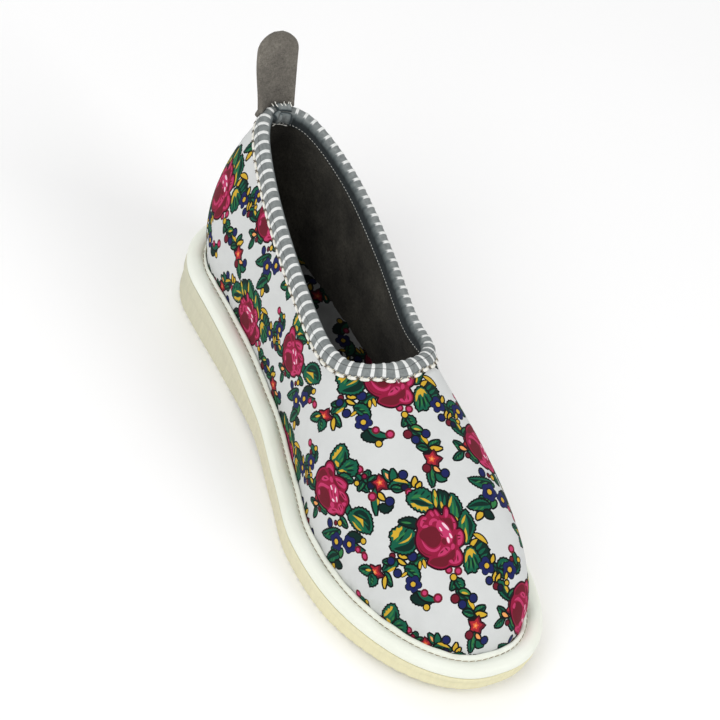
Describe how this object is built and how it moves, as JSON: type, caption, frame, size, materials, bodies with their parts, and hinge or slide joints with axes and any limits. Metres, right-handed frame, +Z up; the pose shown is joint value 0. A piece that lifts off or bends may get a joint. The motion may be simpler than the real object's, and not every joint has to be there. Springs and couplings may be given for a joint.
{
  "type": "house slipper",
  "caption": "Closed house slipper with a hollow printed fabric upper, rolled welt, ribbed wedge sole, ribbon-bound collar and a felt pull tab at the heel.",
  "frame": {"origin": "middle of the object's box in plan, on the floor under the sole", "axes": "+Y from the toe to the heel, +X towards the inner side of the foot, +Z up"},
  "size_m": [0.0992, 0.2732, 0.1337],
  "materials": {
    "outsole": "matt cream micro-rubber",
    "welt": "ivory leatherette with a satin face",
    "upper": "white cotton with a rose print, on dark felt",
    "insole": "printed cotton sock",
    "collar_binding": "grey ribbon with white cross stripes",
    "pull_tab": "brown-grey wool felt"
  },
  "bodies": {
    "root": {"outsole": "outsole", "welt": "welt", "upper": "upper", "insole": "insole", "collar_binding": "collar_binding", "pull_tab": "pull_tab"}
  },
  "joints": []
}
